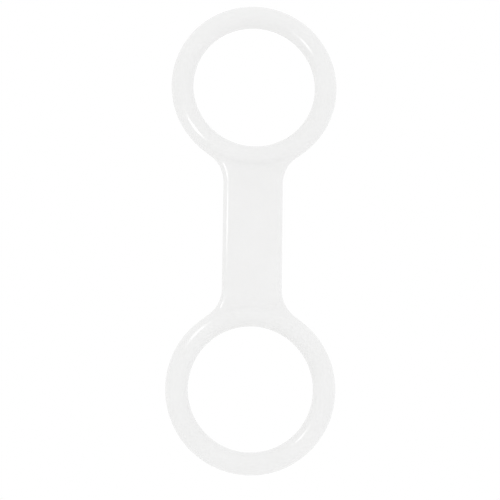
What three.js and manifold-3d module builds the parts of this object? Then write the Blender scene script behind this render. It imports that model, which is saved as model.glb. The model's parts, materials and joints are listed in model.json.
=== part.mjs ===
// A soft double-ring strap that carries rhythmic gymnastics hoops.
// It is one white rubber moulding: two round rings in one plane, joined by a flat strap.
// The strap goes round the tubes of the hoops, and the rings go over a peg, a hook or a finger.
// The strap bends and twists along its whole length. Here its straight stretch is a row of short
// links, so that it can do both: they rock on each other at V-shaped ends, and turn on each
// other at flat ends, in turn.
//
// Millimetres. +Z runs up the length, +X across the width and +Y out of the back.
// The origin is the centre of the upper ring's eye, which hangs on the peg.

import * as THREE from 'three';
import { mergeVertices } from 'three/addons/utils/BufferGeometryUtils.js';
import Module from 'manifold-3d';

const wasm = await Module();
wasm.setup();

// Rings
const RING_RADIUS = 25.6; // from the eye's centre to the middle of the round cord
const CORD_RADIUS = 3.9;
const RING_SPACING = 107.4; // between the centres of the two eyes

// Strap
const STRAP_WIDTH = 21;
const STRAP_THICKNESS = 4;
const EDGE_LAND = 0.2; // flat left at the middle of each rounded side, where the mould parts
const PLAN_FILLET_RADIUS = 12; // in the corner between a ring's rim and the strap's side
const THROAT_RADIUS = 3; // hollow curve from a ring's cord down to the flat of the strap

// Flexing
const BEND_COUNT = 6; // rocking places along the strap; a turning place lies between each two
const FULL_BEND_DEGREES = 180; // the strap folds back on itself, either way
const RELIEF_MARGIN_DEGREES = 0.5; // spare angle on each V face at the end of the bend
const LINK_GAP = 0.1; // running gap between two links

// Cutting blocks reach this far past what they cut
const OVERRUN = 2;

// Facets, as steps round each shape. A shape's arc gets two steps for each curve segment asked for.
const STEPS_PER_SEGMENT = 2;
const CORD_SIDES = 20;
const RING_STEPS = 72;
const EDGE_STEPS = 6;
const FILLET_STEPS = 12;
const THROAT_STEPS = 5;

// Sizes that follow
const ringOuterRadius = RING_RADIUS + CORD_RADIUS;
const halfWidth = STRAP_WIDTH / 2;
const halfThickness = STRAP_THICKNESS / 2;
const edgeRadius = (STRAP_THICKNESS - EDGE_LAND) / 2;

// The plan fillet touches the ring's rim and the strap's side, which gives the place of its centre
const filletCentreX = halfWidth + PLAN_FILLET_RADIUS;
const filletCentreDistance = ringOuterRadius + PLAN_FILLET_RADIUS;
const strapStart = Math.sqrt(filletCentreDistance ** 2 - filletCentreX ** 2);

// The straight stretch between the fillets is shared out among the links
const linkCount = 2 * BEND_COUNT - 2;
const linkPitch = (RING_SPACING - 2 * strapStart) / linkCount;
const faceRelief = THREE.MathUtils.degToRad(FULL_BEND_DEGREES / BEND_COUNT / 2 + RELIEF_MARGIN_DEGREES);

function rubber() {
  return new THREE.MeshStandardMaterial({ color: '#efefed', roughness: 0.38, metalness: 0 });
}

// Solids for joining and cutting
function solidOf(geometry) {
  geometry.deleteAttribute('normal');
  geometry.deleteAttribute('uv');
  const welded = mergeVertices(geometry);
  return new wasm.Manifold(new wasm.Mesh({
    numProp: 3,
    vertProperties: new Float32Array(welded.attributes.position.array),
    triVerts: new Uint32Array(welded.index.array),
  }));
}

function geometryOf(solid) {
  const mesh = solid.getMesh();
  const geometry = new THREE.BufferGeometry();
  geometry.setAttribute('position', new THREE.BufferAttribute(new Float32Array(mesh.vertProperties), 3));
  geometry.setIndex(new THREE.BufferAttribute(new Uint32Array(mesh.triVerts), 1));
  geometry.computeVertexNormals();
  return geometry;
}

// The round cord of a ring, standing in the XZ plane
function ringCord() {
  const cord = new THREE.TorusGeometry(RING_RADIUS, CORD_RADIUS, CORD_SIDES, RING_STEPS);
  cord.rotateX(Math.PI / 2);
  return solidOf(cord);
}

// Outline of the web between the cord and the strap, seen from the front, with the strap below.
// It starts on the middle of the cord and runs past the end of the ring piece.
function webOutline() {
  const rimAngle = Math.atan2(-strapStart, filletCentreX);
  const filletStart = rimAngle + Math.PI;
  const endZ = -strapStart - OVERRUN;
  const outline = new THREE.Shape();
  outline.absarc(0, 0, RING_RADIUS, Math.PI - rimAngle, rimAngle, false);
  outline.absarc(filletCentreX, -strapStart, PLAN_FILLET_RADIUS, filletStart, Math.PI, false);
  outline.lineTo(halfWidth, endZ);
  outline.lineTo(-halfWidth, endZ);
  outline.absarc(-filletCentreX, -strapStart, PLAN_FILLET_RADIUS, 0, -rimAngle, false);
  outline.closePath();
  return outline;
}

// The web outline as a plate of the given half thickness, its rim rounded by the strap's edge radius
function roundedPlate(plateHalfThickness) {
  const roundHeight = plateHalfThickness - EDGE_LAND / 2;
  const plate = new THREE.ExtrudeGeometry(webOutline(), {
    depth: EDGE_LAND,
    bevelEnabled: true,
    bevelThickness: roundHeight,
    bevelSize: edgeRadius,
    bevelOffset: -edgeRadius,
    bevelSegments: EDGE_STEPS,
    curveSegments: FILLET_STEPS / STEPS_PER_SEGMENT,
  });
  plate.translate(0, 0, -EDGE_LAND / 2);
  plate.rotateX(Math.PI / 2);
  return solidOf(plate);
}

// The hollow curve round the ring that takes the cord's surface down to the flat of the web.
// Its arc touches the cord at one end and the flat at the other.
function throat() {
  const reach = CORD_RADIUS + THROAT_RADIUS;
  const centreY = halfThickness + THROAT_RADIUS;
  const centreOffset = Math.sqrt(reach ** 2 - centreY ** 2);
  const cordTouchY = (CORD_RADIUS * centreY) / reach;
  const startAngle = Math.atan2(-centreY, -centreOffset);
  const endAngle = -Math.PI / 2;
  const back = [];
  for (let step = 0; step <= THROAT_STEPS; step += 1) {
    const angle = THREE.MathUtils.lerp(startAngle, endAngle, step / THROAT_STEPS);
    const radius = RING_RADIUS + centreOffset + THROAT_RADIUS * Math.cos(angle);
    back.push(new THREE.Vector2(radius, centreY + THROAT_RADIUS * Math.sin(angle)));
  }
  const front = back.map((point) => new THREE.Vector2(point.x, -point.y));
  const innerFront = new THREE.Vector2(RING_RADIUS, -cordTouchY);
  const innerBack = new THREE.Vector2(RING_RADIUS, cordTouchY);
  const profile = [innerFront, ...front, ...back.reverse(), innerBack, innerFront.clone()];
  const collar = solidOf(new THREE.LatheGeometry(profile, RING_STEPS));
  return collar.intersect(roundedPlate(cordTouchY));
}

// One end of a length block, from the back to the front: a V that rocks, or a flat that turns.
// direction is 1 at an upper end and -1 at a lower end.
function jointEnd(place, direction, rocks, depth) {
  const tip = place - (direction * LINK_GAP) / 2;
  if (!rocks) {
    return [[depth, tip], [-depth, tip]];
  }
  const shoulder = tip - direction * depth * Math.tan(faceRelief);
  return [[depth, shoulder], [0, tip], [-depth, shoulder]];
}

// A block across the whole width that cuts a piece to length, from its lower to its upper end
function lengthBlock(lowerEnd, upperEnd, blockWidth) {
  const points = [...lowerEnd, ...upperEnd.reverse()];
  const side = new THREE.Shape(points.map(([y, z]) => new THREE.Vector2(y, z)));
  const block = new THREE.ExtrudeGeometry(side, { depth: blockWidth, bevelEnabled: false });
  block.translate(0, 0, -blockWidth / 2);
  block.rotateX(Math.PI / 2);
  block.rotateZ(Math.PI / 2);
  return solidOf(block);
}

// A ring with its web, cut at the V where the strap's first link rocks
function ringGeometry() {
  const depth = CORD_RADIUS + OVERRUN;
  const reach = ringOuterRadius + OVERRUN;
  const lowerEnd = jointEnd(-strapStart, -1, true, depth);
  const block = lengthBlock(lowerEnd, [[depth, reach], [-depth, reach]], 2 * reach);
  const body = ringCord().add(roundedPlate(halfThickness)).add(throat());
  return geometryOf(body.intersect(block));
}

// The strap's cross-section, flat on both faces with rounded sides
function strapSection() {
  const flatX = halfWidth - edgeRadius;
  const flatY = EDGE_LAND / 2;
  const quarter = Math.PI / 2;
  const section = new THREE.Shape();
  section.absarc(flatX, flatY, edgeRadius, 0, quarter, false);
  section.absarc(-flatX, flatY, edgeRadius, quarter, 2 * quarter, false);
  section.absarc(-flatX, -flatY, edgeRadius, 2 * quarter, 3 * quarter, false);
  section.absarc(flatX, -flatY, edgeRadius, 3 * quarter, 4 * quarter, false);
  section.closePath();
  return section;
}

// A link about its own middle, with its V end up and its flat end down
function linkGeometry() {
  const depth = halfThickness + OVERRUN;
  const barLength = linkPitch + OVERRUN;
  const bar = new THREE.ExtrudeGeometry(strapSection(), {
    depth: barLength,
    bevelEnabled: false,
    curveSegments: EDGE_STEPS / STEPS_PER_SEGMENT,
  });
  bar.translate(0, 0, -barLength / 2);
  const lowerEnd = jointEnd(-linkPitch / 2, -1, false, depth);
  const upperEnd = jointEnd(linkPitch / 2, 1, true, depth);
  const block = lengthBlock(lowerEnd, upperEnd, STRAP_WIDTH + OVERRUN);
  return geometryOf(solidOf(bar).intersect(block));
}

const strap = new THREE.Group();

const ringShape = ringGeometry();
const ringUpper = new THREE.Mesh(ringShape, rubber());
ringUpper.name = 'ring_upper';
strap.add(ringUpper);

// Every other link is turned over end to end, so that V meets V and flat meets flat
const linkShape = linkGeometry();
for (let index = 0; index < linkCount; index += 1) {
  const link = new THREE.Mesh(linkShape, rubber());
  link.name = `strap_link_${String(index + 1).padStart(2, '0')}`;
  link.position.z = -strapStart - linkPitch * (index + 0.5);
  link.rotation.y = index % 2 === 0 ? 0 : Math.PI;
  strap.add(link);
}

const ringLower = new THREE.Mesh(ringShape, rubber());
ringLower.name = 'ring_lower';
ringLower.position.z = -RING_SPACING;
ringLower.rotation.y = Math.PI;
strap.add(ringLower);

export default strap;
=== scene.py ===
import json
import math

import bmesh
import bpy
import numpy as np
from mathutils import Matrix, Vector

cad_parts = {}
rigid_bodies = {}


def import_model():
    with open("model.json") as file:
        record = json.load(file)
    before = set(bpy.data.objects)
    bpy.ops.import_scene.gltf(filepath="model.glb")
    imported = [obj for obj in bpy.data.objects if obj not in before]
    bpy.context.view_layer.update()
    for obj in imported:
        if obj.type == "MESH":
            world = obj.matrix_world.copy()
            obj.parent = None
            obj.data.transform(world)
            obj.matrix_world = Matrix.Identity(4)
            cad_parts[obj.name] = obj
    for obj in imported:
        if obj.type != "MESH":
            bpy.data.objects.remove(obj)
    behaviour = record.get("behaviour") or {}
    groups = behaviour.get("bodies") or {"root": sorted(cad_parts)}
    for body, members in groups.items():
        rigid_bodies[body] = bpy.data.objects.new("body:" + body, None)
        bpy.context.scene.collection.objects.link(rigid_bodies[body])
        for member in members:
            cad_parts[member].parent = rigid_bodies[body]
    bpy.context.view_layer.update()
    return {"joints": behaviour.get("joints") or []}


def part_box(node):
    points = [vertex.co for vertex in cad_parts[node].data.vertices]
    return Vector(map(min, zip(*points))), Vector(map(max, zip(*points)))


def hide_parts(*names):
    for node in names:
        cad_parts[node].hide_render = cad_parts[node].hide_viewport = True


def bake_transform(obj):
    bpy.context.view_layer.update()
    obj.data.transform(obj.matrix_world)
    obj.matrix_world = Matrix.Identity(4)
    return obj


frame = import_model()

# A soft double-ring strap of white moulded rubber: two round rings joined by a flat strap.
# Each ring is skinned together with the web that runs into the strap, and the strap is swept from
# its section. The pieces meet inside the links, and each crosses one hinge.
# Metres. +Z runs up the length, +X across the width and +Y out of the back.
# The origin is the centre of the upper ring's eye.

# Sizes that the frame gives: the ring's cord, the strap's section and the hinge places
ring_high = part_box("ring_upper")[1]
link_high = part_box("strap_link_01")[1]
hinges = sorted(frame["joints"], key=lambda joint: -joint["pos_m"][2])
hinge_z = [joint["pos_m"][2] for joint in hinges]
body_chain = [hinges[0]["parent"]] + [joint["child"] for joint in hinges]

CORD = ring_high[1]
RING = ring_high[0] - CORD
RIM = RING + CORD
HALF_WIDTH = link_high[0]
HALF_THICK = link_high[1]
STRAP_START = -hinge_z[0]
PITCH = hinge_z[0] - hinge_z[1]
SPACING = -(hinge_z[0] + hinge_z[-1])
MIDDLE = (0, 0, -SPACING / 2)

# The fillet touches the ring's rim and the strap's side, which gives its radius and its centre
FILLET = (STRAP_START ** 2 - RIM ** 2 + HALF_WIDTH ** 2) / (2 * (RIM - HALF_WIDTH))
FILLET_X = HALF_WIDTH + FILLET

# Sizes of the smooth form
THROAT = 0.003                  # radius of the hollow curve from the cord down to the strap's flat
WEB_FADE = 0.6                  # how fast the web sinks into the cord past the end of the fillet
CREASE = 0.0006                 # width over which the web's edge runs into the cord
CREASE_REACH = 0.0025           # from the web's edge to where the crease ends
LEAST_CREASE = 1e-7             # past that

# Sharing of the strap's length
BEND_SHARE = 0.35               # of each link goes with the bend at one end, the rest with the twist

# Fineness of the meshes
CELL = 0.00042                  # of the grid that the skin is drawn on
GRID_MARGIN = 3 * CELL          # of the grid past the moulding
CUT_MARGIN = 6 * CELL           # of the grid past the place where the ring is cut
CUT_TOLERANCE = 0.02 * CELL     # points this near the cut count as on it
SLOPE_STEP = 0.05 * CELL        # to each side, for the gradient of the form
LEAST_SQUARE = 1e-6             # of the gradient, so that nothing is divided by zero
RELAX_ROUNDS = 6
RELAX_STEP = 0.5                # of the way to the middle of a point's neighbours
LAST_ROUNDS = 2                 # of settling, once the points are evened out
EDGE_POINTS = 24                # round each side of the strap
FACE_POINTS = 34                # across each face
SECTION_ROWS = 12               # along each section
MOST_SIDES = 5                  # of a face of the skin, where the cut crosses it; an end has more

# Rubber. A noise is its scale in cells per metre, its detail and its roughness.
REST_PLACE = "rest_place"       # the attribute that holds each point's place at rest
IOR = 1.41                      # of silicone
DARKER_WHITE = (0.856, 0.856, 0.852, 1)
PALER_WHITE = (0.876, 0.876, 0.874, 1)
NOISE_RANGE = (0.3, 0.7)        # nearly all of a noise lies in it
CLOUDS, CLOUDS_SHARE = (70, 3, 0.5), 0.7
SPECKS, SPECKS_SHARE = (900, 2, 0.5), 0.3
HANDLED, HANDLED_ROUGHNESS = (55, 4, 0.5), (0.17, 0.22)
FINE, FINE_ROUGHNESS = (2600, 2, 0.5), (-0.01, 0.02)
GRAIN, GRAIN_STRENGTH, GRAIN_HEIGHT = (4200, 3, 0.6), 0.12, 0.00003
SWAY, SWAY_STRENGTH, SWAY_HEIGHT = (160, 1, 0.5), 0.15, 0.0004
PARTING_FADE = (0.00004, 0.00016)       # from the middle plane, where the line fades and where it ends
PARTING_STRENGTH, PARTING_HEIGHT = 0.5, 0.00005
PARTING_GREY = 0.12

# Floor, well below the hanging strap
FLOOR_Z = -0.62
FLOOR_RADIUS = 4.0
FLOOR_SIDES = 96
FLOOR_WHITE = (0.98, 0.98, 0.98, 1)
FLOOR_ROUGHNESS = 0.9

# Light
SURROUND_FRONT = (0.35, -0.9, 0.1)      # towards the side on which the surround is strongest
SURROUND_STRENGTH = (1.0, 1.03)         # on the far side, and on that one
SEEN_WHITE = (1, 1, 1, 1)
LAMP_PLACE = (-0.063, -0.094, -0.029)
LAMP_SIZE = 0.030
LAMP_RADIANCE = 13.0

# Camera: angles in degrees, pixels of the photograph, and the sensor's width in millimetres
CAMERA_DISTANCE = 0.5
CAMERA_TURN = 4.5
CAMERA_TILT = 8.98
CAMERA_ROLL = 0.72
FOCAL_PIXELS = 1423.3
PHOTO_PIXELS = 500
MIDDLE_PIXEL = (252.5, 235.7)           # where the middle of the strap shows
SENSOR = 36.0
CLIP_NEAR, CLIP_FAR = 0.01, 20.0


# The form of a ring with its web, about the centre of its eye, with the strap towards -Z

def web_height(radius):
    """Half thickness of the web: the cord's own curve, then the throat, then the strap's flat."""
    centre = RING + math.sqrt((CORD + THROAT) ** 2 - (HALF_THICK + THROAT) ** 2)
    touch = RING + CORD * (centre - RING) / (CORD + THROAT)
    cord = np.sqrt(np.maximum(CORD ** 2 - np.maximum(radius - RING, 0) ** 2, 0))
    inset = np.clip(centre - radius, 0, centre - touch)
    throat = HALF_THICK + THROAT - np.sqrt(THROAT ** 2 - inset ** 2)
    return np.where(radius < touch, cord, throat)


def form(points):
    """Below zero inside the moulding, above zero outside."""
    across, depth, down = np.abs(points[:, 0]), points[:, 1], -points[:, 2]
    radius = np.hypot(across, down)
    cord = np.hypot(radius - RING, depth) - CORD

    # Distance to the outline seen from the front. A point is past the fillet when it lies beyond
    # the line between the ring's centre and the fillet's.
    past = (across * STRAP_START - down * FILLET_X) / (RIM + FILLET)
    in_fillet = FILLET - np.hypot(across - FILLET_X, down - STRAP_START)
    outline = np.where(down >= STRAP_START, across - HALF_WIDTH,
                       np.where(past < 0, in_fillet, radius - RIM))
    inset = outline + HALF_THICK
    web = np.hypot(np.maximum(inset, 0), depth * HALF_THICK / web_height(radius)) - HALF_THICK
    web = np.maximum(web, RING - radius)
    web = web + WEB_FADE * np.where(down < STRAP_START, np.maximum(past, 0), 0)

    # The two run into each other softly along the web's edge
    nearness = np.clip(1 + outline / CREASE_REACH, 0, 1)
    crease = np.maximum(CREASE * nearness, LEAST_CREASE)
    share = np.clip(0.5 + 0.5 * (web - cord) / crease, 0, 1)
    return web + (cord - web) * share - crease * share * (1 - share)


def slope(points):
    """Gradient of the form, by small steps."""
    columns = []
    for axis in range(3):
        shift = np.zeros(3)
        shift[axis] = SLOPE_STEP
        columns.append((form(points + shift) - form(points - shift)) / (2 * SLOPE_STEP))
    return np.stack(columns, axis=1)


def settle(points, rounds):
    """Moves points on to the surface."""
    for _ in range(rounds):
        gradient = slope(points)
        square = np.maximum((gradient ** 2).sum(1), LEAST_SQUARE)
        points = points - gradient * (form(points) / square)[:, None]
    return points


def skin(low, high):
    """Quads over the surface inside a box: one point for each grid cell that the surface crosses."""
    counts = [math.ceil((high[i] - low[i]) / CELL) + 1 for i in range(3)]
    axes = [low[i] + CELL * np.arange(counts[i]) for i in range(3)]
    grid = np.stack(np.meshgrid(*axes, indexing="ij"), axis=-1)
    value = form(grid.reshape(-1, 3)).reshape(counts)
    inside = value < 0
    total = np.zeros([count - 1 for count in counts] + [3])
    hits = np.zeros([count - 1 for count in counts])
    crossings = []
    for axis in range(3):
        # Where the grid's lines along this axis cross the surface
        near = [slice(None)] * 3
        far = [slice(None)] * 3
        near[axis], far[axis] = slice(0, -1), slice(1, None)
        near, far = tuple(near), tuple(far)
        cut = inside[near] != inside[far]
        spot = np.argwhere(cut)
        first, second = value[near][cut], value[far][cut]
        place = grid[near][cut]
        place[:, axis] += CELL * first / (first - second)
        b, c = (axis + 1) % 3, (axis + 2) % 3
        kept = ((spot[:, b] > 0) & (spot[:, b] < counts[b] - 1)
                & (spot[:, c] > 0) & (spot[:, c] < counts[c] - 1))
        spot, place, first = spot[kept], place[kept], first[kept]

        # Each crossing joins the four cells round it by a quad, and a cell's point is the mean of
        # its crossings
        corners = []
        for step_b, step_c in ((0, 0), (1, 0), (1, 1), (0, 1)):
            cell = spot.copy()
            cell[:, b] -= step_b
            cell[:, c] -= step_c
            np.add.at(total, tuple(cell.T), place)
            np.add.at(hits, tuple(cell.T), 1)
            corners.append(np.ravel_multi_index(tuple(cell.T), hits.shape))
        quads = np.stack(corners, axis=1)
        crossings.append(np.where((first < 0)[:, None], quads[:, ::-1], quads))
    used = hits.ravel() > 0
    number = np.cumsum(used) - 1
    points = total.reshape(-1, 3)[used] / hits.ravel()[used][:, None]
    return points, number[np.concatenate(crossings)]


def relax(points, quads):
    """Evens out the quads, and keeps them on the surface."""
    edges = np.concatenate([quads[:, [i, (i + 1) % 4]] for i in range(4)])
    valence = np.bincount(edges[:, 0], minlength=len(points))[:, None]
    for _ in range(RELAX_ROUNDS):
        drawn = np.zeros_like(points)
        np.add.at(drawn, edges[:, 0], points[edges[:, 1]])
        points = settle(points + RELAX_STEP * (drawn / valence - points), 1)
    return settle(points, LAST_ROUNDS)


# Meshes

def ring_mesh(name, cut_z):
    """A ring with its web down to the cut, as a closed mesh."""
    low = (-RIM - GRID_MARGIN, -CORD - GRID_MARGIN, cut_z - CUT_MARGIN)
    high = (RIM + GRID_MARGIN, CORD + GRID_MARGIN, RIM + GRID_MARGIN)
    points, quads = skin(low, high)
    points = relax(points, quads)
    mesh = bpy.data.meshes.new(name)
    mesh.from_pydata(points.tolist(), [], quads.tolist())
    built = bmesh.new()
    built.from_mesh(mesh)
    everything = built.verts[:] + built.edges[:] + built.faces[:]
    bmesh.ops.bisect_plane(built, geom=everything, dist=CUT_TOLERANCE, plane_co=(0, 0, cut_z),
                           plane_no=(0, 0, -1), clear_outer=True)
    end = [edge for edge in built.edges if edge.is_boundary]
    bmesh.ops.contextual_create(built, geom=end)
    built.to_mesh(mesh)
    built.free()
    return mesh


def section_loop():
    """The strap's outline seen along its length: flat faces with half-round sides."""
    flat = HALF_WIDTH - HALF_THICK
    loop = []
    for side in (1, -1):
        for step in range(EDGE_POINTS):
            angle = math.pi * (step / EDGE_POINTS - 0.5)
            loop.append((side * (flat + HALF_THICK * math.cos(angle)),
                         side * HALF_THICK * math.sin(angle)))
        for step in range(FACE_POINTS):
            loop.append((side * flat * (1 - 2 * step / FACE_POINTS), side * HALF_THICK))
    return loop


def section_mesh(name, top_z, bottom_z):
    """A closed length of the strap."""
    loop = section_loop()
    count = len(loop)
    points, faces = [], []
    for row in range(SECTION_ROWS + 1):
        z = top_z + (bottom_z - top_z) * row / SECTION_ROWS
        points += [(x, y, z) for x, y in loop]
    for row in range(SECTION_ROWS):
        for step in range(count):
            after = (step + 1) % count
            here, below = row * count, (row + 1) * count
            faces.append((here + step, below + step, below + after, here + after))
    faces.append(tuple(range(count)))
    faces.append(tuple(range(SECTION_ROWS * count + count - 1, SECTION_ROWS * count - 1, -1)))
    mesh = bpy.data.meshes.new(name)
    mesh.from_pydata(points, [], faces)
    return mesh


# Objects

def add_object(name, data):
    """Puts an object with this data into the scene."""
    made = bpy.data.objects.new(name, data)
    bpy.context.scene.collection.objects.link(made)
    return made


def make_piece(name, mesh, material):
    """A piece of the moulding: smooth sides, flat ends, and the rest place of each point."""
    built = bmesh.new()
    built.from_mesh(mesh)
    bmesh.ops.recalc_face_normals(built, faces=built.faces)
    for face in built.faces:
        face.smooth = len(face.verts) <= MOST_SIDES
    for edge in built.edges:
        edge.smooth = all(face.smooth for face in edge.link_faces)
    built.to_mesh(mesh)
    built.free()
    rest = mesh.attributes.new(REST_PLACE, "FLOAT_VECTOR", "POINT")
    place = np.zeros(len(mesh.vertices) * 3, np.float32)
    mesh.vertices.foreach_get("co", place)
    rest.data.foreach_set("vector", place)
    mesh.materials.append(material)
    piece = add_object(name, mesh)
    return piece


# Shader nodes

def feed(tree, socket, value):
    """Links a socket to another node's output, or sets it to a constant."""
    if isinstance(value, bpy.types.NodeSocket):
        tree.links.new(value, socket)
    else:
        socket.default_value = value


def maths(tree, operation, first, second=0.0):
    """What a Math node makes of one or two values."""
    node = tree.nodes.new("ShaderNodeMath")
    node.operation = operation
    feed(tree, node.inputs[0], first)
    feed(tree, node.inputs[1], second)
    return node.outputs["Value"]


def ranged(tree, value, source, target, interpolation="LINEAR"):
    """A value taken from one range to another, and kept inside it."""
    node = tree.nodes.new("ShaderNodeMapRange")
    node.interpolation_type = interpolation
    for label, limit in zip(("From Min", "From Max", "To Min", "To Max"), source + target):
        node.inputs[label].default_value = limit
    tree.links.new(value, node.inputs["Value"])
    return node.outputs["Result"]


# Materials

def moulded_rubber():
    """White silicone rubber, with a fine moulded grain and a faint parting line."""
    material = bpy.data.materials.new("white_rubber_moulded")
    material.use_nodes = True
    tree = material.node_tree
    nodes, links = tree.nodes, tree.links
    shader = nodes["Principled BSDF"]
    shader.inputs["IOR"].default_value = IOR

    attribute = nodes.new("ShaderNodeAttribute")
    attribute.attribute_name = REST_PLACE
    place = attribute.outputs["Vector"]

    def noise(scale, detail, roughness):
        node = nodes.new("ShaderNodeTexNoise")
        node.inputs["Scale"].default_value = scale
        node.inputs["Detail"].default_value = detail
        node.inputs["Roughness"].default_value = roughness
        links.new(place, node.inputs["Vector"])
        return node.outputs["Fac"]

    def relief(height, strength, distance, normal=None):
        node = nodes.new("ShaderNodeBump")
        node.inputs["Strength"].default_value = strength
        node.inputs["Distance"].default_value = distance
        links.new(height, node.inputs["Height"])
        if normal is not None:
            links.new(normal, node.inputs["Normal"])
        return node.outputs["Normal"]

    # The parting line runs round the sides, in the middle plane
    split = nodes.new("ShaderNodeSeparateXYZ")
    links.new(place, split.inputs["Vector"])
    from_middle = maths(tree, "ABSOLUTE", split.outputs["Y"])
    parting = ranged(tree, from_middle, PARTING_FADE, (1.0, 0.0), "SMOOTHSTEP")

    # Colour: an even white with faint clouds, a trace greyer along the parting line
    clouds = maths(tree, "ADD", maths(tree, "MULTIPLY", noise(*CLOUDS), CLOUDS_SHARE),
                   maths(tree, "MULTIPLY", noise(*SPECKS), SPECKS_SHARE))
    shade = maths(tree, "SUBTRACT", clouds, maths(tree, "MULTIPLY", parting, PARTING_GREY))
    colour = nodes.new("ShaderNodeValToRGB")
    whites = (DARKER_WHITE, PALER_WHITE)
    for stop, position, white in zip(colour.color_ramp.elements, NOISE_RANGE, whites):
        stop.position = position
        stop.color = white
    links.new(shade, colour.inputs["Fac"])
    links.new(colour.outputs["Color"], shader.inputs["Base Color"])

    # Gloss: satin, with softer patches where it has been handled
    patches = ranged(tree, noise(*HANDLED), NOISE_RANGE, HANDLED_ROUGHNESS)
    fine = ranged(tree, noise(*FINE), NOISE_RANGE, FINE_ROUGHNESS)
    links.new(maths(tree, "ADD", patches, fine), shader.inputs["Roughness"])

    # Relief: the raised parting line, a faint unevenness of the moulding, and fine grain
    line = relief(parting, PARTING_STRENGTH, PARTING_HEIGHT)
    sway = relief(noise(*SWAY), SWAY_STRENGTH, SWAY_HEIGHT, line)
    grain = relief(noise(*GRAIN), GRAIN_STRENGTH, GRAIN_HEIGHT, sway)
    links.new(grain, shader.inputs["Normal"])
    return material


def matt_white():
    """A pale floor with no gloss."""
    material = bpy.data.materials.new("floor_pale")
    material.use_nodes = True
    shader = material.node_tree.nodes["Principled BSDF"]
    shader.inputs["Roughness"].default_value = FLOOR_ROUGHNESS
    shader.inputs["Specular IOR Level"].default_value = 0.0
    shader.inputs["Base Color"].default_value = FLOOR_WHITE
    return material


# Surroundings

def lay_floor():
    """A wide round disc."""
    mesh = bpy.data.meshes.new("floor")
    angles = [2 * math.pi * side / FLOOR_SIDES for side in range(FLOOR_SIDES)]
    rim = [(FLOOR_RADIUS * math.cos(angle), FLOOR_RADIUS * math.sin(angle), FLOOR_Z)
           for angle in angles]
    mesh.from_pydata(rim, [], [tuple(range(FLOOR_SIDES))])
    mesh.materials.append(matt_white())
    floor = add_object("floor", mesh)


def light_surround():
    """Soft studio light: an even white world, a little stronger from the front."""
    world = bpy.data.worlds.new("studio")
    bpy.context.scene.world = world
    world.use_nodes = True
    tree = world.node_tree
    nodes, links = tree.nodes, tree.links

    # The light that it gives
    direction = nodes.new("ShaderNodeTexCoord")
    facing = nodes.new("ShaderNodeVectorMath")
    facing.operation = "DOT_PRODUCT"
    facing.inputs[1].default_value = Vector(SURROUND_FRONT).normalized()
    links.new(direction.outputs["Generated"], facing.inputs[0])
    light = ranged(tree, facing.outputs["Value"], (-1.0, 1.0), SURROUND_STRENGTH)
    grey = nodes.new("ShaderNodeCombineColor")
    for channel in grey.inputs:
        links.new(light, channel)

    # Plain white where the camera, a gloss or clear glass sees it
    path = nodes.new("ShaderNodeLightPath")
    seen = path.outputs["Is Camera Ray"]
    for kind in ("Is Glossy Ray", "Is Transmission Ray"):
        seen = maths(tree, "MAXIMUM", seen, path.outputs[kind])
    mix = nodes.new("ShaderNodeMix")
    mix.data_type = "RGBA"
    links.new(seen, mix.inputs["Factor"])
    unseen_colour, seen_colour = [socket for socket in mix.inputs if socket.type == "RGBA"]
    links.new(grey.outputs["Color"], unseen_colour)
    seen_colour.default_value = SEEN_WHITE
    mixed = next(socket for socket in mix.outputs if socket.type == "RGBA")
    background = nodes["Background"]
    background.inputs["Strength"].default_value = 1.0
    links.new(mixed, background.inputs["Color"])


def hang_lamp():
    """A round lamp at the front left that gives only highlights."""
    data = bpy.data.lights.new("lamp_front_left", "AREA")
    data.shape = "DISK"
    data.size = LAMP_SIZE

    # A disc's power is its radiance times pi times its area
    data.energy = LAMP_RADIANCE * math.pi * math.pi * (LAMP_SIZE / 2) ** 2
    lamp = add_object("lamp_front_left", data)
    lamp.location = LAMP_PLACE
    lamp.rotation_euler = (Vector(MIDDLE) - Vector(LAMP_PLACE)).to_track_quat("-Z", "Y").to_euler()
    lamp.visible_camera = False
    lamp.visible_diffuse = False


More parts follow.
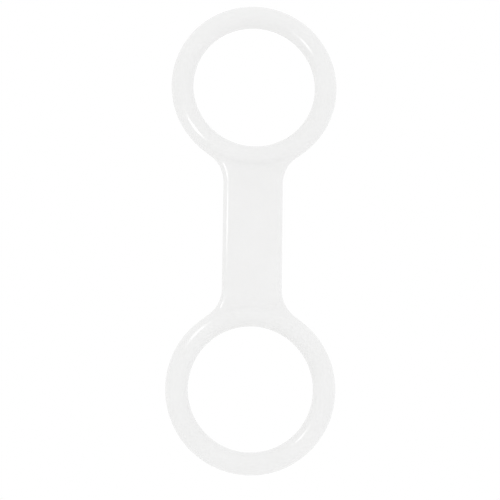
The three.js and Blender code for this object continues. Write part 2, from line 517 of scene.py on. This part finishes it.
def set_camera():
    """The photograph's angle: from a little below the strap's middle and to its left, looking up."""
    turn, tilt, roll = (math.radians(angle) for angle in (CAMERA_TURN, CAMERA_TILT, CAMERA_ROLL))
    forward = Vector((math.sin(turn) * math.cos(tilt), math.cos(turn) * math.cos(tilt),
                      math.sin(tilt)))
    level_right = forward.cross(Vector((0, 0, 1))).normalized()
    level_up = level_right.cross(forward)
    right = level_right * math.cos(roll) + level_up * math.sin(roll)
    up = level_up * math.cos(roll) - level_right * math.sin(roll)
    place = Vector(MIDDLE) - forward * CAMERA_DISTANCE

    # It aims a little off the strap's middle, which then shows at its pixel of the photograph
    aim = (forward * FOCAL_PIXELS + right * (PHOTO_PIXELS / 2 - MIDDLE_PIXEL[0])
           - up * (PHOTO_PIXELS / 2 - MIDDLE_PIXEL[1])).normalized()
    side = aim.cross(up).normalized()
    above = side.cross(aim)

    data = bpy.data.cameras.new("camera")
    data.sensor_width = SENSOR
    data.lens = FOCAL_PIXELS * SENSOR / PHOTO_PIXELS
    data.clip_start, data.clip_end = CLIP_NEAR, CLIP_FAR
    camera = add_object("camera", data)
    axes = Matrix((side, above, -aim)).transposed().to_4x4()
    camera.matrix_world = Matrix.Translation(place) @ axes
    bpy.context.scene.camera = camera


# Each piece crosses one hinge. Bending hinges turn about X and twisting ones about Z. Two pieces
# meet at a seam inside the link between their hinges.
rubber = moulded_rubber()
hinge_bends = [abs(joint["axis"][0]) > abs(joint["axis"][2]) for joint in hinges]
reach = [PITCH * (BEND_SHARE if bends else 1 - BEND_SHARE) for bends in hinge_bends]
seam = [z - half for z, half in zip(hinge_z[:-1], reach)]
upper_mesh = ring_mesh("ring_upper_moulding", seam[0])
lower_mesh = upper_mesh.copy()
lower_mesh.name = "ring_lower_moulding"
lower_mesh.transform(Matrix.Translation((0, 0, -SPACING)) @ Matrix.Rotation(math.pi, 4, "Y"))
last = len(hinge_z) - 1
for index, z in enumerate(hinge_z):
    if index == 0:
        piece = make_piece("ring_upper_moulding", upper_mesh, rubber)
        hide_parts("ring_upper")
    elif index == last:
        piece = make_piece("ring_lower_moulding", lower_mesh, rubber)
        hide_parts(body_chain[index], "ring_lower")
    else:
        name = f"strap_section_{index:02d}"
        piece = make_piece(name, section_mesh(name, seam[index - 1], seam[index]), rubber)
        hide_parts(body_chain[index])
    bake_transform(piece)

lay_floor()
light_surround()
hang_lamp()
set_camera()
bpy.context.scene.view_settings.view_transform = "Standard"
